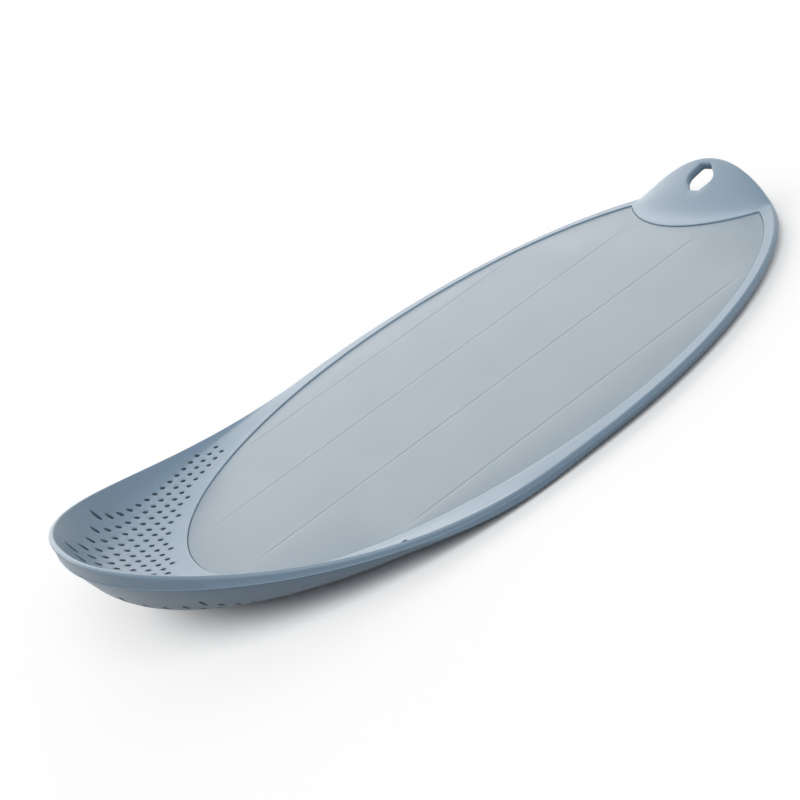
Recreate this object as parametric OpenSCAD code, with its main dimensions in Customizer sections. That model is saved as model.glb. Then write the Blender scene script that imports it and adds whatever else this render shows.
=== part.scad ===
// Oval chopping board with a perforated colander end and an upturned hanging handle.
// +X runs from the colander end to the handle, +Z is up and the feet stand on Z = 0.

/* [Board] */
// Width across the widest part of the rim
board_w = 270; // [250:1:290]
// Reach of the colander end from the widest part
scoop_reach = 183; // [174:1:195]
// Reach of the handle end from the widest part
handle_reach = 171; // [164:1:182]
// Fullness of the colander end's outline, where 2 is a plain ellipse
scoop_fullness = 2.26; // [2.1:0.02:2.5]
// Thickness of the floor under the cutting deck
floor_t = 2.2; // [1.8:0.1:3.5]
// Wall of the colander and the handle
wall = 3.1; // [2.4:0.1:3.6]
// Thickness of the level edge beside the cutting deck
edge_t = 4; // [3.4:0.1:4.6]
// Width of the rim's rounded top
rim_w = 2.6; // [2:0.1:3.2]
// Depth of the rim's outer band where the rim is level
band_depth = 1.8; // [1.6:0.1:2.2]
// Depth of the rim's outer band at the tip of the colander
tip_band_depth = 7.4; // [5:0.1:9]
// Step out from the rim's outer band to the wall below it
ledge_w = 0.4; // [0.2:0.1:0.8]

/* [Colander end] */
// Height that the rim climbs at the tip
scoop_lift = 42; // [34:1:48]
// Distance past the widest part at which the rim starts to climb
lift_start = 25; // [15:1:35]
// How much fuller than a plain curve the rim climbs before the tip
lip_ease = 0.09; // [0:0.01:0.14]
// Bend of the dished floor, where larger is flatter by the deck
floor_bend = 1.8; // [1.5:0.1:2.4]
// Share of the climb that the steep wall takes
wall_share = 0.42; // [0.3:0.02:0.5]
// Bend of the steep wall, where larger keeps it closer to the rim
wall_bend = 12; // [8:1:14]
// Diameter of a drain hole
drain_d = 2.4; // [1.8:0.1:3]
// Distance between drain holes in a row across the board
drain_pitch = 6.8; // [6:0.1:9]
// Distance between rows of drain holes
drain_row = 5.1; // [4.6:0.1:7]
// Plain margin between the cutting deck and the drain holes
drain_inner_margin = 7.8; // [6:0.1:14]
// Plain margin between the drain holes and the rim's outer edge
drain_outer_margin = 4.8; // [4.6:0.1:14]
// Last row of drain holes, measured from the widest part
drain_end = 82; // [70:1:110]

/* [Handle] */
// Height that the handle rises above the rim
handle_rise = 15.2; // [10:0.2:20]
// Half of the handle's width where it leaves the rim
handle_half_w = 54; // [45:1:60]
// Roundness of the handle's shoulders, where larger is narrower at the top
handle_round = 1.2; // [1:0.1:1.8]
// Length of the handle from its front line to its end
handle_l = 36.5; // [32:0.5:42]
// Radius of the handle's front line
handle_front_r = 100; // [80:1:150]
// Level strip behind the front line, as a share of the handle's length
handle_strip = 0.15; // [0.05:0.01:0.25]
// Fillet behind the strip, as a share of the handle's length
handle_fillet = 0.25; // [0.1:0.01:0.4]
// Hanging hole across its corners
hang_w = 20; // [14:0.2:24]
// Hanging hole from front to back
hang_l = 12; // [9:0.2:13]
// Flat front and back edges of the hanging hole
hang_flat = 8.6; // [6:0.2:11]
// Corner radius of the hanging hole
hang_corner = 2.4; // [1:0.1:3]
// Distance from the hanging hole's middle to the handle's end
hang_inset = 10; // [9.4:0.1:15]

/* [Cutting deck] */
// Thickness of the cutting deck
deck_t = 2.3; // [1.8:0.1:4]
// Level surround beside the widest part of the cutting deck
side_gap = 9; // [8:0.5:16]
// Length of the colander end from the cutting deck to the tip
tip_gap = 46.5; // [40:0.5:60]
// Distance from the handle's end to the deck's oval before the handle cuts it short
end_gap = 7.5; // [6.5:0.5:12]
// Depth of the cutting deck below the rim
deck_drop = 0.6; // [0.3:0.1:1.2]
// Gap round the cutting deck
seam = 0.15; // [0.1:0.05:0.4]
// Distance between the guide grooves
groove_pitch = 63.7; // [50:0.1:70]
// Width of a guide groove
groove_w = 2.4; // [1.2:0.1:3]
// Depth of a guide groove
groove_depth = 0.15; // [0.1:0.05:0.4]
// Plain length at each end of a guide groove
groove_end = 6.5; // [3:0.5:15]
// Diameter of a locating peg under the deck
peg_d = 4; // [3:0.1:6]

/* [Feet] */
// Diameter of a foot
foot_d = 16; // [10:0.5:24]
// Height of a foot below the board
foot_h = 1.5; // [1:0.1:3]
// Rounded lower edge of a foot
foot_round = 0.7; // [0.2:0.1:0.9]
// Diameter of a foot's stem
stem_d = 6; // [4:0.1:8]
// Distance between the front and rear feet
foot_span_x = 170; // [120:1:190]
// Distance between the left and right feet
foot_span_y = 130; // [90:1:150]
// Clearance round a stem or peg in its hole
fit_gap = 0.1; // [0.05:0.05:0.2]

/* [Hidden] */

SHELL_BLUE = [0.52, 0.62, 0.71];
DECK_BLUE = [0.60, 0.67, 0.74];
FOOT_GREY = [0.35, 0.40, 0.45];

stations = 120;
half_w = board_w / 2;
// The origin lies under the middle of the board's whole length
mid_x = (scoop_reach - handle_reach) / 2;

deck_half_l = (scoop_reach - tip_gap + handle_reach - end_gap) / 2;
deck_half_w = half_w - side_gap;
deck_shift = handle_reach - end_gap - deck_half_l;
handle_front = handle_reach - handle_l;

pocket_z = foot_h + floor_t;
deck_z = pocket_z + deck_t;
rim_z = deck_z + deck_drop;
slab_t = rim_z - foot_h;
nose_r = rim_w / 2;
// Rim climb over which the level edge thins to the wall
thin_climb = slab_t * 1.6;
// Power that fills out the rim's climb before the tip
lip_power = 6;
// Power by which the outer band deepens along the climb
band_power = 1.5;
// How far a cutter passes a face
overrun = 1;

// Steps from the deck line, at 0, to the inner edge of the rim, at 1
run_steps = [0, 0.15, 0.3, 0.45, 0.58, 0.7, 0.8, 0.87, 0.92, 0.96, 1];
// Turns of the rolled rim after its inner edge, down to its outer side at 0
nose_turns = [2 / 3, 1 / 3, 0];

function signed_power(v, e) = sign(v) * pow(abs(v), e);
function smooth(t) = let (c = min(1, max(0, t))) c * c * (3 - 2 * c);

// Outline of the rim: an ellipse towards the handle and a fuller curve round the colander
function rim_xy(a) =
    cos(a) < 0
        ? [
            scoop_reach * signed_power(cos(a), 2 / scoop_fullness),
            half_w * signed_power(sin(a), 2 / scoop_fullness)
        ]
        : [handle_reach * cos(a), half_w * sin(a)];

// Front line of the handle: an arc that bulges towards the deck
function front_x(y, inset) =
    let (r = handle_front_r + inset)
    handle_front - inset + r - sqrt(r * r - y * y);
function oval_xy(a, inset) = [deck_shift + (deck_half_l - inset) * cos(a), (deck_half_w - inset) * sin(a)];

// Angle at which the deck's oval meets the handle's front line
function corner_angle(lo, hi, inset, steps = 30) =
    let (a = (lo + hi) / 2, p = oval_xy(a, inset))
    steps == 0 ? a
        : p[0] > front_x(p[1], inset) ? corner_angle(a, hi, inset, steps - 1)
        : corner_angle(lo, a, inset, steps - 1);

// Outline of the cutting deck, drawn in by an inset
function deck_xy(a, inset, corner) =
    let (p = oval_xy(a, inset))
    cos(a) > 0 && abs(sin(a)) < sin(corner) ? [front_x(p[1], inset), p[1]] : p;

// Height of the rim above its level stretch
function scoop_climb(x) =
    let (t = max(0, -lift_start - x) / (scoop_reach - lift_start))
    scoop_lift * t * t * (1 + lip_ease * (1 - pow(t, lip_power)));
function handle_climb(p) = p[0] < 0 ? 0 : handle_rise * pow(max(0, 1 - pow(p[1] / handle_half_w, 2)), handle_round);

// Section of the colander as shares of its climb: a dished floor and then a steep wall
function bowl(s) = (1 - wall_share) * pow(s, floor_bend) + wall_share * pow(s, wall_bend);
function bowl_slope(s) =
    (1 - wall_share) * floor_bend * pow(s, floor_bend - 1) + wall_share * wall_bend * pow(s, wall_bend - 1);

// Section of the handle as shares of its rise: a level strip, a fillet and a straight slope
curl_full = 1 - handle_strip - handle_fillet / 2;
function curl(s) =
    let (t = max(0, s - handle_strip))
    (t < handle_fillet ? t * t / (2 * handle_fillet) : t - handle_fillet / 2) / curl_full;
function curl_slope(s) = min(1, max(0, s - handle_strip) / handle_fillet) / curl_full;

// Top and under sides of a section, whose form is [inner run, gain in height, edge thickness, in the colander]
function top_at(s, form) = [form[0] * s, rim_z + form[1] * (form[3] ? bowl(s) : curl(s))];
function under_at(s, form) =
    let (
        lean = atan(form[1] / form[0] * (form[3] ? bowl_slope(s) : curl_slope(s))),
        t = slab_t + (form[2] - slab_t) * smooth(2 * s)
    )
    top_at(s, form) + t * [sin(lean), -cos(lean)];

// Share of the run at which the under side comes up to a height
function under_share(z, form, lo = 0, hi = 1, steps = 24) =
    let (s = (lo + hi) / 2)
    steps == 0 ? s
        : under_at(s, form)[1] > z ? under_share(z, form, lo, s, steps - 1)
        : under_share(z, form, s, hi, steps - 1);

// Closed cross-section of the shell from the deck line to the rim and back under
function section(a, corner) =
    let (
        d = deck_xy(a, 0, corner),
        p = rim_xy(a),
        run = norm(p - d),
        out = (p - d) / run,
        scoop = p[0] < 0,
        scoop_up = scoop_climb(p[0]),
        up = scoop_up + handle_climb(p),
        crest = rim_z + up,
        side = run - ledge_w,
        lean = atan(up * (scoop ? bowl_slope(1) : curl_slope(1)) / (side - rim_w)),
        inner = side - nose_r * (1 + sin(lean)),
        belly = smooth(-p[0] / (2 * lift_start)),
        level_t = edge_t + (slab_t - edge_t) * belly,
        form = [
            inner,
            up - nose_r * (1 - cos(lean)),
            level_t + (wall - level_t) * min(1, up / thin_climb),
            scoop
        ],
        band_z = crest - band_depth - (tip_band_depth - band_depth) * pow(scoop_up / scoop_lift, band_power),
        last = under_share(band_z - ledge_w, form),
        top = [for (s = run_steps) top_at(s, form)],
        nose = [
            for (n = nose_turns)
                let (turn = n * (90 + lean))
                [side - nose_r + nose_r * cos(turn), crest - nose_r + nose_r * sin(turn)]
        ],
        band = [[side, band_z], [run, band_z]],
        under = [
            for (i = [len(run_steps) - 1 : -1 : 0])
                let (q = under_at(run_steps[i] * last, form))
                [min(q[0], run), q[1]]
        ],
        line = concat([[0, pocket_z]], top, nose, band, under)
    )
    [for (q = line) [d[0] + out[0] * q[0], d[1] + out[1] * q[0], q[1]]];

module shell_loft() {
    corner = corner_angle(0, 60, 0);
    rings = [for (k = [0 : stations - 1]) section(360 * (k + 0.5) / stations, corner)];
    n = len(rings[0]);
    points = [for (ring = rings) each ring];
    sides = [
        for (k = [0 : stations - 1], i = [0 : n - 2])
            let (
                j = (k + 1) % stations,
                p = k * n + i,
                q = j * n + i
            )
            each [[p, q, q + 1], [p, q + 1, p + 1]]
    ];
    floor_cap = [for (k = [stations - 1 : -1 : 0]) k * n];
    under_cap = [for (k = [0 : stations - 1]) k * n + n - 1];
    polyhedron(points, concat(sides, [floor_cap, under_cap]), convexity = 6);
}

// Drain holes in staggered rows, kept between the deck and the rim
function in_colander(x, y) =
    let (
        deck_a = deck_half_l + drain_inner_margin,
        deck_b = deck_half_w + drain_inner_margin,
        rim_a = scoop_reach - drain_outer_margin,
        rim_b = half_w - drain_outer_margin
    )
    pow((x - deck_shift) / deck_a, 2) + pow(y / deck_b, 2) > 1
    && pow(abs(x) / rim_a, scoop_fullness) + pow(abs(y) / rim_b, scoop_fullness) < 1;

module drain_holes() {
    rows = floor((scoop_reach - drain_end) / drain_row);
    cols = ceil(half_w / drain_pitch);
    for (i = [0 : rows], j = [-cols : cols]) {
        x = -drain_end - i * drain_row;
        y = (j + (i % 2) / 2) * drain_pitch;
        if (in_colander(x, y))
            translate([x, y, 0]) cylinder(d = drain_d, h = rim_z + scoop_lift, $fn = 24);
    }
}

// Six-sided hanging hole with rounded corners
module hanging_hole() {
    w = hang_w / 2 - hang_corner;
    l = hang_l / 2 - hang_corner;
    f = (hang_flat - hang_corner) / 2;
    translate([handle_reach - hang_inset, 0, 0])
        linear_extrude(rim_z + handle_rise + overrun)
            offset(r = hang_corner, $fn = 24)
                polygon([[0, w], [-l, f], [-l, -f], [0, -w], [l, -f], [l, f]]);
}

peg_spots = [for (x = [-1, 1], y = [-1, 1]) [deck_shift + x * foot_span_x / 4, y * foot_span_y / 2]];
foot_spots = [for (x = [-1, 1], y = [1, -1]) [deck_shift + x * foot_span_x / 2, y * foot_span_y / 2]];

// Holes through the floor for pegs or stems
module floor_bores(spots, d) {
    for (p = spots)
        translate([p[0], p[1], foot_h - overrun])
            cylinder(d = d + 2 * fit_gap, h = floor_t + 2 * overrun, $fn = 48);
}

module board_shell() {
    color(SHELL_BLUE)
        translate([mid_x, 0, 0])
            difference() {
                shell_loft();
                drain_holes();
                hanging_hole();
                floor_bores(peg_spots, peg_d);
                floor_bores(foot_spots, stem_d);
            }
}

// Shallow round-bottomed grooves along the deck
module guide_grooves() {
    r = (pow(groove_w / 2, 2) + pow(groove_depth, 2)) / (2 * groove_depth);
    for (i = [-1.5, -0.5, 0.5, 1.5]) {
        y = i * groove_pitch;
        half = deck_half_l * sqrt(1 - pow(y / deck_half_w, 2));
        x0 = deck_shift - half + groove_end;
        x1 = (abs(i) < 1 ? front_x(y, 0) : deck_shift + half) - groove_end;
        translate([x0, y, deck_z - groove_depth + r]) rotate([0, 90, 0]) cylinder(r = r, h = x1 - x0, $fn = 96);
    }
}

module cutting_deck() {
    corner = corner_angle(0, 60, seam);
    color(DECK_BLUE)
        translate([mid_x, 0, 0])
            difference() {
                union() {
                    translate([0, 0, pocket_z])
                        linear_extrude(deck_t)
                            polygon([for (k = [0 : stations - 1]) deck_xy(360 * (k + 0.5) / stations, seam, corner)]);
                    for (p = peg_spots)
                        translate([p[0], p[1], foot_h]) cylinder(d = peg_d, h = floor_t + deck_t / 2, $fn = 48);
                }
                guide_grooves();
            }
}

// Push-in foot turned about its axis: a pad with a rounded lower edge, and a stem
module foot(i) {
    r = foot_d / 2;
    arc = [for (a = [-90 : 15 : 0]) [r - foot_round + foot_round * cos(a), foot_round + foot_round * sin(a)]];
    stem = [[r, foot_h], [stem_d / 2, foot_h], [stem_d / 2, pocket_z], [0, pocket_z]];
    color(FOOT_GREY)
        translate([mid_x + foot_spots[i][0], foot_spots[i][1], 0])
            rotate_extrude($fn = 64) polygon(concat([[0, 0]], arc, stem));
}

module foot_front_left() { foot(0); }
module foot_front_right() { foot(1); }
module foot_rear_left() { foot(2); }
module foot_rear_right() { foot(3); }

board_shell();
cutting_deck();
foot_front_left();
foot_front_right();
foot_rear_left();
foot_rear_right();
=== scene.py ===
"""Looks of an oval chopping board with a perforated colander end and an upturned hanging handle.

Shapes are worked out in millimetres about the board's widest part, with Z up from the table.
Each mesh is then made in metres, in the part's own frame.
"""

import functools
import math

import bpy
import bmesh
import numpy as np
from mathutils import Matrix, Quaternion, Vector
from mathutils.geometry import delaunay_2d_cdt


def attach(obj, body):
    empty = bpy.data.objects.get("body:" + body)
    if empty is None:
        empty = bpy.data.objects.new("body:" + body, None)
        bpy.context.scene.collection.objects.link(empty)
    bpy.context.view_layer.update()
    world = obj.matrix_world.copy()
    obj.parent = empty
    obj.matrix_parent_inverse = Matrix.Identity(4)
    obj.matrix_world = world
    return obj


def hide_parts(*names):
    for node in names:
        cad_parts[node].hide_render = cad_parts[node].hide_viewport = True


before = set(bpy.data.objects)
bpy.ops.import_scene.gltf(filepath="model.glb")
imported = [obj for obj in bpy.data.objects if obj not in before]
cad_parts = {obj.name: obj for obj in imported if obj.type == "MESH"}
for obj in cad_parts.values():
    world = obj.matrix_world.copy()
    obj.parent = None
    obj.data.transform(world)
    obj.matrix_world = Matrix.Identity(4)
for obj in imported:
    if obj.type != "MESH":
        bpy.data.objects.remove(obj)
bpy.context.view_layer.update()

# Board
BOARD_W = 270
SCOOP_REACH = 183
HANDLE_REACH = 171
SCOOP_FULLNESS = 2.26
FLOOR_T = 2.2
WALL = 3.1
RIM_W = 2.6
EDGE_T = 4.0
BAND_DEPTH = 1.8
TIP_BAND_DEPTH = 7.4
LEDGE_W = 0.4

# Colander end
SCOOP_LIFT = 42
LIFT_START = 25
LIP_EASE = 0.09
LIP_POWER = 6
BAND_POWER = 1.5
FLOOR_BEND = 1.8
WALL_BEND = 12
WALL_SHARE = 0.42
DRAIN_D = 2.4
DRAIN_PITCH = 6.8
DRAIN_ROW = 5.1
DRAIN_INNER_MARGIN = 7.8
DRAIN_OUTER_MARGIN = 4.8
DRAIN_END = 82.0

# Handle
HANDLE_RISE = 15.2
HANDLE_HALF_W = 54
HANDLE_ROUND = 1.2
HANDLE_STRIP = 0.15
HANDLE_FILLET = 0.25
HANDLE_FRONT = 134.5
HANDLE_FRONT_R = 100
HANG_W = 20
HANG_L = 12
HANG_FLAT = 8.6
HANG_CORNER = 2.4
HANG_INSET = 10

# Cutting deck
DECK_T = 2.3
DECK_HALF_L = 150
DECK_HALF_W = 126
DECK_SHIFT = 13.5
DECK_DROP = 0.6
SEAM = 0.15
GROOVE_PITCH = 63.7
GROOVE_W = 2.4
GROOVE_DEPTH = 0.15
GROOVE_END = 6.5
PEG_D = 4

# Reach of a groove to each side, with its rounded lips, as a share of its width
GROOVE_LIP = 0.68

# Feet
FOOT_D = 16
FOOT_H = 1.5
STEM_D = 6
STEM_CHAMFER = 0.3
DIMPLE_R = 4.8
DIMPLE_FLAT_R = 3.6
DIMPLE_DEPTH = 0.25
DIMPLE_SIDE = 0.2
FOOT_SPAN_X = 170
FOOT_SPAN_Y = 130
FIT_GAP = 0.1

# Rounded edges of the moulding
DECK_LINE_R = 0.5
DECK_EDGE_R = 0.2
HOLE_EDGE_R = 0.12
HANG_EDGE_R = 0.6
LEDGE_R = 0.12

# Heights
POCKET_Z = FOOT_H + FLOOR_T
DECK_Z = POCKET_Z + DECK_T
RIM_Z = DECK_Z + DECK_DROP
SLAB_T = RIM_Z - FOOT_H
THIN_CLIMB = SLAB_T * 1.6

# Fineness of the meshes
STATIONS = 720
RUN_STEPS = 18
HOLE_SIDES = 20
BORE_SIDES = 48
FOOT_SIDES = 64
ARC_STEPS = 5
NOSE_STEPS = 10
WALL_STEPS = 10
FOOT_ARC_STEPS = 9
GROOVE_STEPS = 120
HOLE_CLEARANCE = 0.5
WELD_GAP = 0.002
SHARP_ANGLE = 38
AXIS_R = 1e-5

# Lines along a groove, as shares of its width, with two on the flat beside it
GROOVE_LINES = np.concatenate([[-0.95, -0.75], np.linspace(-GROOVE_LIP, GROOVE_LIP, 13), [0.75, 0.95]])

# Searches by halving: how often, and how far from their start the angles sought can lie
HALVINGS = 40
CORNER_RANGE = math.radians(60)
SECTION_SWING = math.radians(25)

# Triangulation inside the outline and outside its holes, and the least distance of two plan points
INSIDE_WITH_HOLES = 2
PLAN_GAP = 1e-7

# Name of the face value that marks where painted shade darkens the walls of the drain bores
PAINTED_SHADE_ATTRIBUTE = "painted_shade"

# Plastic and rubber
SHELL_BLUE = (0.212, 0.312, 0.412)
DECK_BLUE = (0.218, 0.29, 0.355)
FOOT_GREY = (0.075, 0.10, 0.13)
# Painted shade: a dark blue laid on the walls of the drain bores in place of the shade inside them
PAINTED_BORE_SHADE = (0.08, 0.115, 0.15)
TINT_SPREAD = 0.04
GLOSS_SPREAD = 0.04
CLOUD_SCALE = 9.0
CLOUD_DETAIL = 3.0
GLOSS_SCALE = 60.0
GLOSS_DETAIL = 4.0
GRAIN_DETAIL = 2.0
PLASTIC_IOR = 1.5

# Camera
CAMERA_AT = (-229.1, -678.7, 264.5)
CAMERA_HEADING = 16.94
CAMERA_PITCH = -19.41
CAMERA_ROLL = -30.2
CAMERA_LENS = 76.4
SENSOR_W = 36.0

# Floor, in metres, with the colours that the eye and the board get from it
FLOOR_HALF = 60.0
FLOOR_SEEN = (1.25, 1.25, 1.25)
FLOOR_BOUNCE = (0.28, 0.28, 0.29)
FLOOR_ROUGH = 0.9

# Glow of the floor, from none under the board's oval up to its full share outside
FLOOR_GLOW = (0.0, 0.6)
SHADOW_AT = (20.0, -20.0, 0.0)
SHADOW_HALF = (170.0, 135.0, 1.0)
SHADOW_FADE = (0.88, 1.12)

# World
WORLD_WHITE = (1.0, 1.0, 1.0)
WORLD_LIGHT = 0.2

MM = 0.001
WIDEST_X = (SCOOP_REACH - HANDLE_REACH) / 2
NOSE_R = RIM_W / 2
HALF_W = BOARD_W / 2
ANGLES = (np.arange(STATIONS) + 0.5) * 2 * math.pi / STATIONS
QUARTER = np.radians(np.linspace(0, 90, ARC_STEPS))


# Plain sums


def signed_power(v, e):
    return np.sign(v) * np.abs(v) ** e


def smooth(t):
    c = np.clip(t, 0, 1)
    return c * c * (3 - 2 * c)


def stack(x, y):
    return np.stack(np.broadcast_arrays(x, y), axis=-1)


def raised(xy, z):
    """Plan points at one height, or each at its own."""
    return np.column_stack([xy, np.broadcast_to(z, len(xy))])


def first_past(low, high, past):
    """Values between two bounds from which a test holds, found by halving."""
    for _ in range(HALVINGS):
        mid = (low + high) / 2
        over = past(mid)
        low = np.where(over, low, mid)
        high = np.where(over, mid, high)
    return low


# Outlines


def rim_xy(a):
    """Rim: an ellipse towards the handle and a fuller curve round the colander."""
    c, s = np.cos(a), np.sin(a)
    scoop = c < 0
    e = np.where(scoop, 2 / SCOOP_FULLNESS, 1.0)
    reach = np.where(scoop, SCOOP_REACH, HANDLE_REACH)
    return stack(reach * signed_power(c, e), HALF_W * signed_power(s, e))


def front_x(y, inset=0.0):
    """Front line of the handle: an arc that bulges towards the deck."""
    r = HANDLE_FRONT_R + inset
    return HANDLE_FRONT - inset + r - np.sqrt(np.maximum(0, r * r - y * y))


def oval_xy(a, inset=0.0):
    return stack(DECK_SHIFT + (DECK_HALF_L - inset) * np.cos(a), (DECK_HALF_W - inset) * np.sin(a))


@functools.lru_cache
def corner_angle(inset):
    """Angle at which the deck's oval meets the handle's front line."""

    def before_front(a):
        x, y = oval_xy(a, inset)
        return x <= front_x(y, inset)

    return float(first_past(0.0, CORNER_RANGE, before_front))


def deck_xy(a, inset=0.0):
    """Outline of the cutting deck, drawn in by an inset."""
    corner = corner_angle(inset)
    y = (DECK_HALF_W - inset) * np.sin(a)
    front = (np.cos(a) > 0) & (np.abs(np.sin(a)) < math.sin(corner))
    return np.where(front[..., None], stack(front_x(np.where(front, y, 0), inset), y), oval_xy(a, inset))


# Heights of the shell


def scoop_climb(x):
    t = np.maximum(0, -LIFT_START - x) / (SCOOP_REACH - LIFT_START)
    return SCOOP_LIFT * t**2 * (1 + LIP_EASE * (1 - t**LIP_POWER))


def handle_climb(x, y):
    bell = np.maximum(0, 1 - (y / HANDLE_HALF_W) ** 2) ** HANDLE_ROUND
    return np.where(x < 0, 0, HANDLE_RISE * bell)


def bowl(s):
    """Height and slope of the colander's section, as shares: a dished floor and then a steep wall."""
    floor, wall = 1 - WALL_SHARE, WALL_SHARE
    height = floor * s**FLOOR_BEND + wall * s**WALL_BEND
    slope = floor * FLOOR_BEND * s ** (FLOOR_BEND - 1) + wall * WALL_BEND * s ** (WALL_BEND - 1)
    return height, slope


def curl(s):
    """Height and slope of the handle's section, as shares: a level strip, a fillet and a straight rise."""
    t = np.maximum(0, s - HANDLE_STRIP)
    rise = 1 - HANDLE_STRIP - HANDLE_FILLET / 2
    bent = t < HANDLE_FILLET
    height = np.where(bent, t**2 / (2 * HANDLE_FILLET), t - HANDLE_FILLET / 2)
    slope = np.where(bent, t / HANDLE_FILLET, 1)
    return height / rise, slope / rise


class Section:
    """Cross-sections of the shell, one for each angle, from the deck line out to the rim."""

    def __init__(self, a):
        self.start = deck_xy(a)
        rim = rim_xy(a)
        across = rim - self.start
        self.run = np.hypot(across[..., 0], across[..., 1])
        self.out = across / self.run[..., None]
        scoop_up = scoop_climb(rim[..., 0])
        self.up = scoop_up + handle_climb(rim[..., 0], rim[..., 1])
        self.scoop = rim[..., 0] < 0
        self.side = self.run - LEDGE_W
        self.lean = np.arctan(self.form(np.ones_like(self.run))[1] * self.up / (self.side - RIM_W))
        self.inner = self.side - NOSE_R * (1 + np.sin(self.lean))
        self.gain = self.up - NOSE_R * (1 - np.cos(self.lean))
        self.crest = RIM_Z + self.up
        deeper = (TIP_BAND_DEPTH - BAND_DEPTH) * (scoop_up / SCOOP_LIFT) ** BAND_POWER
        self.band_z = self.crest - BAND_DEPTH - deeper
        belly = smooth(-rim[..., 0] / (2 * LIFT_START))
        level_t = EDGE_T + (SLAB_T - EDGE_T) * belly
        self.thin_t = level_t + (WALL - level_t) * np.minimum(1, self.up / THIN_CLIMB)

    def at(self, along, z):
        """Points at a distance along each section and a height."""
        along, z, _ = np.broadcast_arrays(along, z, self.run)
        xy = self.start + self.out * along[..., None]
        return np.concatenate([xy, z[..., None]], axis=-1)

    def form(self, share):
        scooped, curled = bowl(share), curl(share)
        return [np.where(self.scoop, a, b) for a, b in zip(scooped, curled)]

    def top(self, along):
        share = np.maximum(along, 0) / self.inner
        return RIM_Z + self.gain * self.form(share)[0]

    def under_side(self, share):
        """Distance along and height of the under side, which lies square to the top."""
        height, slope = self.form(share)
        lean = np.arctan(self.gain * slope / self.inner)
        t = SLAB_T + (self.thin_t - SLAB_T) * smooth(2 * share)
        return self.inner * share + t * np.sin(lean), RIM_Z + self.gain * height - t * np.cos(lean)

    def under_share(self, axis, limit):
        """Share of the run at which the under side comes to a distance, axis 0, or a height, axis 1."""
        low, high = np.zeros_like(self.run), np.ones_like(self.run)
        return first_past(low, high, lambda share: self.under_side(share)[axis] > limit)

    def under(self, along):
        return self.under_side(self.under_share(0, along))[1]


def section_through(xy):
    """Sections that pass through plan points, and how far along them the points lie."""

    def not_left_of_section(a):
        start = deck_xy(a)
        across = rim_xy(a) - start
        ahead = xy - start
        return across[:, 0] * ahead[:, 1] - across[:, 1] * ahead[:, 0] <= 0

    guess = np.arctan2(xy[:, 1] / HALF_W, xy[:, 0] / SCOOP_REACH)
    section = Section(first_past(guess - SECTION_SWING, guess + SECTION_SWING, not_left_of_section))
    ahead = xy - section.start
    return section, (ahead * section.out).sum(axis=1)


# Meshes


def new_object(name, data):
    obj = bpy.data.objects.new(name, data)
    bpy.context.scene.collection.objects.link(obj)
    return obj


class Skin:
    """Points and faces of one mesh, gathered strip by strip, with a value per face that marks the painted
    shade of the drain bores.
    """

    def __init__(self):
        self.points = []
        self.faces = []
        self.painted_shade = []

    def add(self, points):
        first = len(self.points)
        self.points.extend(map(tuple, np.asarray(points, float)))
        return np.arange(first, len(self.points))

    def strip(self, rings, painted_shade=0.0):
        """Quads between closed rings of points, each ring joined to the next."""
        ids = [self.add(r) for r in rings]
        for a, b in zip(ids, ids[1:]):
            c, d = np.roll(b, -1), np.roll(a, -1)
            self.faces.extend(zip(a.tolist(), b.tolist(), c.tolist(), d.tolist()))
            self.painted_shade.extend([painted_shade] * len(a))

    def sheet(self, points, triangles, flip=False):
        ids = self.add(points)
        for t in triangles:
            face = [int(ids[i]) for i in t]
            self.faces.append(face[::-1] if flip else face)
            self.painted_shade.append(0.0)

    def build(self, name, material):
        mesh = bpy.data.meshes.new(name)
        points = (np.array(self.points) + (WIDEST_X, 0, 0)) * MM
        mesh.from_pydata(points.tolist(), [], self.faces)
        mesh.attributes.new(PAINTED_SHADE_ATTRIBUTE, "FLOAT", "FACE").data.foreach_set("value", self.painted_shade)
        obj = new_object(name, mesh)
        weld(mesh)
        mesh.materials.append(material)
        return obj


def weld(mesh):
    """Joins the strips' shared points and shades the skin smooth up to its sharp edges."""
    bm = bmesh.new()
    bm.from_mesh(mesh)
    bmesh.ops.remove_doubles(bm, verts=bm.verts, dist=WELD_GAP * MM)
    bmesh.ops.recalc_face_normals(bm, faces=bm.faces)
    bm.to_mesh(mesh)
    bm.free()
    mesh.polygons.foreach_set("use_smooth", [True] * len(mesh.polygons))
    mesh.set_sharp_from_angle(angle=math.radians(SHARP_ANGLE))


def triangulate(loops, loose=np.empty((0, 2))):
    """Triangles of a plan region inside its first loop and outside the others, with loose points in it."""
    points = np.concatenate([*loops, loose])
    faces = []
    first = 0
    for loop in loops:
        faces.append(list(range(first, first + len(loop))))
        first += len(loop)
    made = delaunay_2d_cdt([Vector(p) for p in points], [], faces, INSIDE_WITH_HOLES, PLAN_GAP)
    source = [ids[0] for ids in made[3]]
    return points, [[source[i] for i in face] for face in made[2]]


def ring(centre, radius, sides):
    a = np.arange(sides) * 2 * math.pi / sides
    return np.asarray(centre) + radius * stack(np.cos(a), np.sin(a))


# Drain holes and hanging hole


def in_colander(x, y):
    deck_a = DECK_HALF_L + DRAIN_INNER_MARGIN
    deck_b = DECK_HALF_W + DRAIN_INNER_MARGIN
    rim_a = SCOOP_REACH - DRAIN_OUTER_MARGIN
    rim_b = HALF_W - DRAIN_OUTER_MARGIN
    past_deck = ((x - DECK_SHIFT) / deck_a) ** 2 + (y / deck_b) ** 2 > 1
    inside_rim = (abs(x) / rim_a) ** SCOOP_FULLNESS + (abs(y) / rim_b) ** SCOOP_FULLNESS < 1
    return past_deck and inside_rim


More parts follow.
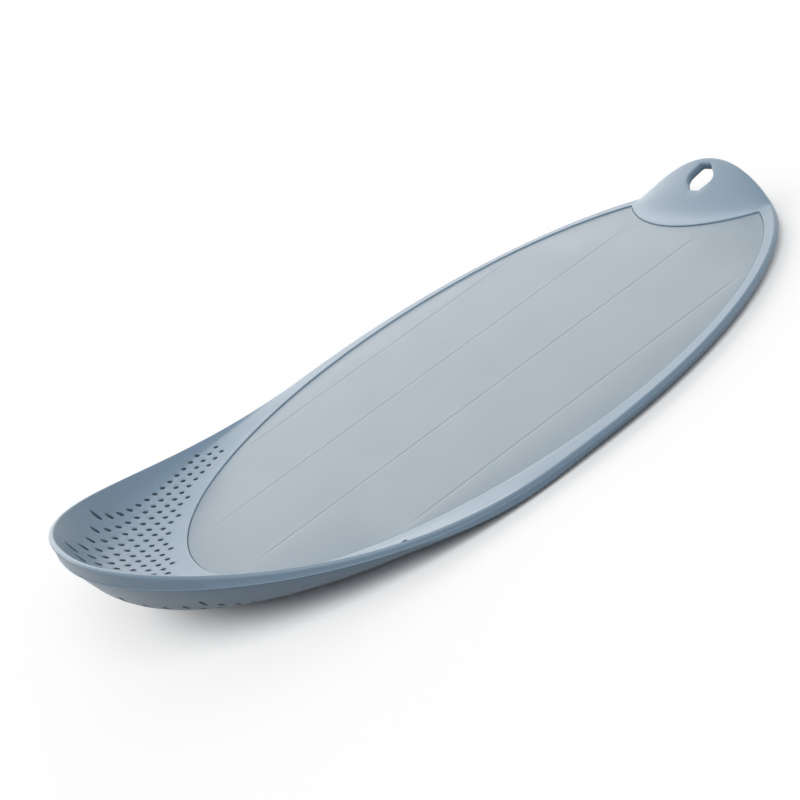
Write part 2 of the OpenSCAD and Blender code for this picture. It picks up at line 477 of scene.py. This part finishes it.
def drain_centres():
    """Centres of the drain holes, in rows that are staggered by half a pitch."""
    rows = int((SCOOP_REACH - DRAIN_END) / DRAIN_ROW)
    columns = math.ceil(HALF_W / DRAIN_PITCH)
    spots = []
    for i in range(rows + 1):
        x = -DRAIN_END - i * DRAIN_ROW
        for j in range(-columns, columns + 1):
            y = (j + (i % 2) / 2) * DRAIN_PITCH
            if in_colander(x, y):
                spots.append((x, y))
    return np.array(spots)


def hang_ring(grow):
    """Six-sided hanging hole with rounded corners, let out by a distance."""
    w = HANG_W / 2 - HANG_CORNER
    d = HANG_L / 2 - HANG_CORNER
    f = (HANG_FLAT - HANG_CORNER) / 2
    corners = np.array([(0, -w), (d, -f), (d, f), (0, w), (-d, f), (-d, -f)])
    middle = np.array([HANDLE_REACH - HANG_INSET, 0])
    points = []
    for i, corner in enumerate(corners):
        into = corner - corners[i - 1]
        away = corners[(i + 1) % len(corners)] - corner
        a0 = math.atan2(-into[0], into[1])
        a1 = math.atan2(-away[0], away[1])
        a1 += 2 * math.pi * (a1 < a0)
        for a in np.linspace(a0, a1, ARC_STEPS + 1):
            points.append(middle + corner + (HANG_CORNER + grow) * stack(math.cos(a), math.sin(a)))
    return np.array(points)


class Hole:
    """A hole straight through the shell: its rings in plan, its edge radius and the share of painted shade
    on its wall.
    """

    def __init__(self, make_ring, edge_r, painted_shade):
        self.edge_r = edge_r
        self.dip = edge_r * (1 - math.cos(math.radians(45)))
        self.painted_shade = painted_shade
        self.wide = make_ring(edge_r)
        self.half = make_ring(self.dip)
        self.narrow = make_ring(0.0)

    def line(self, skin):
        """The hole's wall, from the top surface to the under surface."""
        wide, along_wide = section_through(self.wide)
        half, along_half = section_through(self.half)
        narrow, along_narrow = section_through(self.narrow)
        above = [
            raised(self.wide, wide.top(along_wide)),
            raised(self.half, half.top(along_half) - self.dip),
            raised(self.narrow, narrow.top(along_narrow) - self.edge_r),
        ]
        below = [
            raised(self.narrow, narrow.under(along_narrow) + self.edge_r),
            raised(self.half, half.under(along_half) + self.dip),
            raised(self.wide, wide.under(along_wide)),
        ]
        skin.strip(above)
        # The bore's wall gets the hole's share of painted shade
        skin.strip([above[-1], below[0]], self.painted_shade)
        skin.strip(below)


def shell_holes():
    def drain_ring(centre):
        return lambda grow: ring(centre, DRAIN_D / 2 + grow, HOLE_SIDES)

    # Drain bores get painted shade on their walls, the hanging hole none
    holes = [Hole(drain_ring(c), HOLE_EDGE_R, 1.0) for c in drain_centres()]
    holes.append(Hole(hang_ring, HANG_EDGE_R, 0.0))
    return holes


def keep_clear(points, holes):
    """Which plan points lie clear of every hole's ring."""
    keep = np.ones(len(points), bool)
    for hole in holes:
        middle = hole.wide.mean(axis=0)
        reach = np.hypot(*(hole.wide - middle).T).max() + HOLE_CLEARANCE
        keep &= np.hypot(*(points - middle).T) > reach
    return keep


# Bores of the pegs and the feet

PEG_SPOTS = [(DECK_SHIFT + x * FOOT_SPAN_X / 4, y * FOOT_SPAN_Y / 2) for x in (-1, 1) for y in (-1, 1)]
FOOT_SPOTS = [(DECK_SHIFT + x * FOOT_SPAN_X / 2, y * FOOT_SPAN_Y / 2) for x in (-1, 1) for y in (1, -1)]


def bore_rings(spots, d):
    return [ring(p, d / 2 + FIT_GAP, BORE_SIDES) for p in spots]


# Shell


def add_pocket_wall(skin, section):
    """Pocket wall and its rounded top edge along the deck line."""
    top = section.top(np.full(STATIONS, DECK_LINE_R))
    edge = [
        section.at(DECK_LINE_R * (1 - math.cos(q)), top - DECK_LINE_R * (1 - math.sin(q))) for q in QUARTER
    ]
    skin.strip([section.at(0.0, POCKET_Z)] + edge)


def add_faces(skin, section, first):
    """Top and under surfaces, both over the same plan with the same holes."""
    holes = shell_holes()
    shares = np.linspace(0, 1, RUN_STEPS + 1)[1:-1]
    reach = section.inner - first
    rows = [section.at(first + reach * s, 0.0)[i % 2 :: 2, :2] for i, s in enumerate(shares)]
    loose = np.concatenate(rows)
    loose = loose[keep_clear(loose, holes)]
    inner_loop = section.at(first, 0.0)[:, :2]
    outer_loop = section.at(section.inner, 0.0)[:, :2]
    plan, triangles = triangulate([outer_loop, inner_loop] + [h.wide for h in holes], loose)
    through, along = section_through(plan)
    skin.sheet(raised(plan, through.top(along)), triangles)
    skin.sheet(raised(plan, through.under(along)), triangles, flip=True)
    for hole in holes:
        hole.line(skin)


def add_rim(skin, section):
    """Rolled nose of the rim, the outer band, the ledge under it and the wall below."""
    middle = section.side - NOSE_R
    nose = [section.at(section.inner, section.top(section.inner))]
    for t in np.linspace(1, 0, NOSE_STEPS)[1:]:
        turn = (math.pi / 2 + section.lean) * t
        z = section.crest - NOSE_R + NOSE_R * np.sin(turn)
        nose.append(section.at(middle + NOSE_R * np.cos(turn), z))
    ledge = [
        section.at(section.side, section.band_z + LEDGE_R),
        section.at(section.side + LEDGE_R, section.band_z),
    ]
    for q in QUARTER:
        turned = section.run - LEDGE_R * (1 - math.sin(q))
        ledge.append(section.at(turned, section.band_z - LEDGE_R * (1 - math.cos(q))))
    first_share = section.under_share(1, section.band_z - LEDGE_W)
    last_share = section.under_share(0, section.inner)
    below = []
    for part in np.linspace(0, 1, WALL_STEPS)[:-1]:
        along, z = section.under_side(first_share + (last_share - first_share) * part)
        below.append(section.at(np.minimum(along, section.run), z))
    below.append(section.at(section.inner, section.under(section.inner)))
    skin.strip(nose + ledge + below)


def add_floor(skin, section, first):
    """Edge under the deck line, flat underside and pocket floor, drilled for the feet and the pegs."""
    skin.strip([section.at(first, section.under(first)), section.at(0.0, FOOT_H)])
    bores = bore_rings(FOOT_SPOTS, STEM_D) + bore_rings(PEG_SPOTS, PEG_D)
    flat, triangles = triangulate([section.start] + bores)
    skin.sheet(raised(flat, FOOT_H), triangles, flip=True)
    skin.sheet(raised(flat, POCKET_Z), triangles)
    for bore in bores:
        skin.strip([raised(bore, POCKET_Z), raised(bore, FOOT_H)])


def make_shell(material):
    skin = Skin()
    section = Section(ANGLES)
    first = np.full(STATIONS, DECK_LINE_R)
    add_pocket_wall(skin, section)
    add_faces(skin, section, first)
    add_rim(skin, section)
    add_floor(skin, section, first)
    return skin.build("shell", material)


# Cutting deck


def groove_reach(i):
    """First and last X of a guide groove, by its place across the deck."""
    y = i * GROOVE_PITCH
    half = DECK_HALF_L * math.sqrt(1 - (y / DECK_HALF_W) ** 2)
    middle = abs(i) < 1
    last = float(front_x(y)) if middle else DECK_SHIFT + half
    return DECK_SHIFT - half + GROOVE_END, last - GROOVE_END


GROOVES = [(i * GROOVE_PITCH, *groove_reach(i)) for i in (-1.5, -0.5, 0.5, 1.5)]


def deck_height(x, y):
    """Top of the deck, with the guide grooves pressed into it and faded out at their ends."""
    z = np.full_like(x, DECK_Z)
    for middle, x0, x1 in GROOVES:
        across = smooth(1 - np.abs(y - middle) / (GROOVE_W * GROOVE_LIP))
        fade = smooth((x - x0) / (2 * GROOVE_END)) * smooth((x1 - x) / (2 * GROOVE_END))
        z = z - GROOVE_DEPTH * across * fade
    return z


def make_deck(material):
    skin = Skin()
    rim = deck_xy(ANGLES, SEAM)
    inner = deck_xy(ANGLES, SEAM + DECK_EDGE_R)
    loose = []
    for middle, x0, x1 in GROOVES:
        x = np.linspace(x0, x1, GROOVE_STEPS)
        for across in GROOVE_LINES:
            loose.append(stack(x, middle + across * GROOVE_W))
    plan, triangles = triangulate([inner], np.concatenate(loose))
    skin.sheet(raised(plan, deck_height(plan[:, 0], plan[:, 1])), triangles)
    edge = []
    for q in QUARTER:
        inset = SEAM + DECK_EDGE_R * (1 - math.sin(q))
        edge.append(raised(deck_xy(ANGLES, inset), DECK_Z - DECK_EDGE_R * (1 - math.cos(q))))
    edge.append(raised(rim, POCKET_Z))
    skin.strip(edge)
    pegs = [ring(p, PEG_D / 2, BORE_SIDES) for p in PEG_SPOTS]
    base, base_triangles = triangulate([rim] + pegs)
    skin.sheet(raised(base, POCKET_Z), base_triangles, flip=True)
    for peg in pegs:
        tip, tip_triangles = triangulate([peg])
        skin.strip([raised(peg, POCKET_Z), raised(peg, FOOT_H)])
        skin.sheet(raised(tip, FOOT_H), tip_triangles, flip=True)
    return skin.build("deck", material)


# Feet


def make_foot(spot, name, material):
    """A push-in foot turned about its own axis: a rounded pad with a dimple, and a stem."""
    round_r = FOOT_H / 2
    pad_r = FOOT_D / 2 - round_r
    stem_r = STEM_D / 2
    profile = [(0.0, DIMPLE_DEPTH), (DIMPLE_FLAT_R, DIMPLE_SIDE), (DIMPLE_R, 0.0)]
    for t in np.radians(np.linspace(-90, 90, FOOT_ARC_STEPS)):
        profile.append((pad_r + round_r * math.cos(t), round_r + round_r * math.sin(t)))
    profile += [
        (stem_r, FOOT_H),
        (stem_r, POCKET_Z - STEM_CHAMFER),
        (stem_r - STEM_CHAMFER, POCKET_Z),
        (0.0, POCKET_Z),
    ]
    skin = Skin()
    skin.strip([raised(ring(spot, max(r, AXIS_R), FOOT_SIDES), z) for r, z in profile])
    return skin.build(name, material)


# Materials


def shader(name):
    material = bpy.data.materials.new(name)
    material.use_nodes = True
    tree = material.node_tree
    return material, tree, tree.nodes["Principled BSDF"]


def noise(tree, scale, detail):
    place = tree.nodes.new("ShaderNodeTexCoord")
    node = tree.nodes.new("ShaderNodeTexNoise")
    node.inputs["Scale"].default_value = scale
    node.inputs["Detail"].default_value = detail
    tree.links.new(place.outputs["Object"], node.inputs["Vector"])
    return node.outputs["Fac"]


def mixed_colour(tree):
    node = tree.nodes.new("ShaderNodeMix")
    node.data_type = "RGBA"
    return node


def tinted(tree, colour):
    """The colour with slow clouds a little darker and lighter than it."""
    mix = mixed_colour(tree)
    mix.inputs["A"].default_value = (*[c * (1 - TINT_SPREAD) for c in colour], 1)
    mix.inputs["B"].default_value = (*[c * (1 + TINT_SPREAD) for c in colour], 1)
    tree.links.new(noise(tree, CLOUD_SCALE, CLOUD_DETAIL), mix.inputs["Factor"])
    return mix.outputs["Result"]


def with_painted_shade(tree, colour):
    """The colour with painted shade: darker on the walls of the drain bores, in place of the shade where
    little light gets in.
    """
    painted_shade = tree.nodes.new("ShaderNodeAttribute")
    painted_shade.attribute_name = PAINTED_SHADE_ATTRIBUTE
    mix = mixed_colour(tree)
    mix.inputs["B"].default_value = (*PAINTED_BORE_SHADE, 1)
    tree.links.new(painted_shade.outputs["Fac"], mix.inputs["Factor"])
    tree.links.new(colour, mix.inputs["A"])
    return mix.outputs["Result"]


def uneven_gloss(tree, rough):
    node = tree.nodes.new("ShaderNodeMapRange")
    node.inputs["To Min"].default_value = rough - GLOSS_SPREAD
    node.inputs["To Max"].default_value = rough + GLOSS_SPREAD
    tree.links.new(noise(tree, GLOSS_SCALE, GLOSS_DETAIL), node.inputs["Value"])
    return node.outputs["Result"]


def mould_grain(tree, width, depth):
    """Fine grain of a textured mould, its width and depth in millimetres."""
    bump = tree.nodes.new("ShaderNodeBump")
    bump.inputs["Strength"].default_value = 1.0
    bump.inputs["Distance"].default_value = depth * MM
    tree.links.new(noise(tree, 1 / (width * MM), GRAIN_DETAIL), bump.inputs["Height"])
    return bump.outputs["Normal"]


def moulded_plastic(name, colour, rough, grain_w, grain_depth):
    """Satin moulded plastic: cloudy colour, painted shade where the mesh marks it, uneven gloss and a fine
    grain.
    """
    material, tree, principled = shader(name)
    tree.links.new(with_painted_shade(tree, tinted(tree, colour)), principled.inputs["Base Color"])
    tree.links.new(uneven_gloss(tree, rough), principled.inputs["Roughness"])
    tree.links.new(mould_grain(tree, grain_w, grain_depth), principled.inputs["Normal"])
    principled.inputs["IOR"].default_value = PLASTIC_IOR
    return material


shell_plastic = moulded_plastic("shell_plastic", SHELL_BLUE, rough=0.34, grain_w=0.8, grain_depth=0.01)
deck_plastic = moulded_plastic("deck_plastic", DECK_BLUE, rough=0.39, grain_w=0.6, grain_depth=0.012)
foot_rubber = moulded_plastic("foot_rubber", FOOT_GREY, rough=0.7, grain_w=0.5, grain_depth=0.02)


# Pieces

shell = make_shell(shell_plastic)
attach(shell, "root")
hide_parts("board_shell")

deck = make_deck(deck_plastic)
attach(deck, "root")
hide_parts("cutting_deck")

FOOT_NAMES = ("front_left", "front_right", "rear_left", "rear_right")
for spot, name in zip(FOOT_SPOTS, FOOT_NAMES):
    foot = make_foot(spot, "rubber_foot_" + name, foot_rubber)
    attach(foot, "root")
    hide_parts("foot_" + name)


# Camera, floor, light and background


def way(heading, height):
    """Direction at a compass heading from +Y towards +X and a height above level, both in radians."""
    level = math.cos(height)
    return Vector((math.sin(heading) * level, math.cos(heading) * level, math.sin(height)))


def make_camera():
    data = bpy.data.cameras.new("camera")
    data.lens = CAMERA_LENS
    data.sensor_width = SENSOR_W
    camera = new_object("camera", data)
    camera.location = (Vector(CAMERA_AT) + Vector((WIDEST_X, 0, 0))) * MM
    camera.rotation_mode = "QUATERNION"
    level = way(math.radians(CAMERA_HEADING), math.radians(CAMERA_PITCH)).to_track_quat("-Z", "Y")
    camera.rotation_quaternion = level @ Quaternion((0, 0, 1), math.radians(CAMERA_ROLL))
    bpy.context.scene.camera = camera


def combined(tree, operation, first, second):
    node = tree.nodes.new("ShaderNodeMath")
    node.operation = operation
    tree.links.new(first, node.inputs[0])
    tree.links.new(second, node.inputs[1])
    return node.outputs["Value"]


def mixed_shader(tree, share, first, second):
    node = tree.nodes.new("ShaderNodeMixShader")
    tree.links.new(share, node.inputs["Fac"])
    tree.links.new(first, node.inputs[1])
    tree.links.new(second, node.inputs[2])
    return node.outputs["Shader"]


def seen_by_eye(tree, path):
    """1 on rays from the camera, also by way of a reflection or through glass."""
    seen = path.outputs["Is Camera Ray"]
    for name in ("Is Glossy Ray", "Is Transmission Ray"):
        seen = combined(tree, "MAXIMUM", seen, path.outputs[name])
    return seen


def glow_share(tree):
    """Share of glow on the floor, which fades out under an oval round the board."""
    where = tree.nodes.new("ShaderNodeTexCoord")
    oval = tree.nodes.new("ShaderNodeMapping")
    oval.vector_type = "TEXTURE"
    oval.inputs["Location"].default_value = [c * MM for c in SHADOW_AT]
    oval.inputs["Scale"].default_value = [c * MM for c in SHADOW_HALF]
    tree.links.new(where.outputs["Object"], oval.inputs["Vector"])
    near = tree.nodes.new("ShaderNodeVectorMath")
    near.operation = "LENGTH"
    tree.links.new(oval.outputs["Vector"], near.inputs[0])
    fade = tree.nodes.new("ShaderNodeMapRange")
    fade.interpolation_type = "SMOOTHSTEP"
    fade.inputs["From Min"].default_value = SHADOW_FADE[0]
    fade.inputs["From Max"].default_value = SHADOW_FADE[1]
    fade.inputs["To Min"].default_value = FLOOR_GLOW[0]
    fade.inputs["To Max"].default_value = FLOOR_GLOW[1]
    tree.links.new(near.outputs["Value"], fade.inputs["Value"])
    return fade.outputs["Result"]


def make_floor():
    """White floor: the camera sees it white with a soft shadow, and the board gets a dimmer bounce."""
    mesh = bpy.data.meshes.new("floor")
    h = FLOOR_HALF
    mesh.from_pydata([(-h, -h, 0), (h, -h, 0), (h, h, 0), (-h, h, 0)], [], [(0, 1, 2, 3)])
    floor = new_object("floor", mesh)
    material, tree, bounce = shader("floor_white")
    bounce.inputs["Base Color"].default_value = (*FLOOR_BOUNCE, 1)
    bounce.inputs["Roughness"].default_value = FLOOR_ROUGH
    bounce.inputs["Specular IOR Level"].default_value = 0.0
    seen = tree.nodes.new("ShaderNodeBsdfDiffuse")
    seen.inputs["Color"].default_value = (*FLOOR_SEEN, 1)
    glow = tree.nodes.new("ShaderNodeEmission")
    path = tree.nodes.new("ShaderNodeLightPath")
    share = combined(tree, "MULTIPLY", glow_share(tree), path.outputs["Is Camera Ray"])
    lit = mixed_shader(tree, share, seen.outputs["BSDF"], glow.outputs["Emission"])
    surface = mixed_shader(tree, seen_by_eye(tree, path), bounce.outputs["BSDF"], lit)
    tree.links.new(surface, tree.nodes["Material Output"].inputs["Surface"])
    mesh.materials.append(material)


def make_world():
    """White background for the eye, and a dimmer even light for the board."""
    world = bpy.data.worlds.new("studio")
    world.use_nodes = True
    bpy.context.scene.world = world
    tree = world.node_tree
    light = tree.nodes["Background"]
    light.inputs["Color"].default_value = (*WORLD_WHITE, 1)
    light.inputs["Strength"].default_value = WORLD_LIGHT
    white = tree.nodes.new("ShaderNodeBackground")
    white.inputs["Color"].default_value = (*WORLD_WHITE, 1)
    path = tree.nodes.new("ShaderNodeLightPath")
    seen = seen_by_eye(tree, path)
    surface = mixed_shader(tree, seen, light.outputs["Background"], white.outputs["Background"])
    tree.links.new(surface, tree.nodes["World Output"].inputs["Surface"])


def make_sun(name, heading, height, spread, strength):
    """A wide soft source: where it stands round the board, how high, how wide and how strong."""
    data = bpy.data.lights.new(name, "SUN")
    data.angle = math.radians(spread)
    data.energy = strength
    lamp = new_object(name, data)
    stands = way(math.radians(heading), math.radians(height))
    lamp.rotation_mode = "QUATERNION"
    lamp.rotation_quaternion = (-stands).to_track_quat("-Z", "Y")


make_camera()
make_floor()
make_world()
make_sun("back", heading=3, height=24, spread=66, strength=1.35)
make_sun("front", heading=188, height=50, spread=60, strength=1.7)

bpy.context.scene.view_settings.view_transform = "Standard"
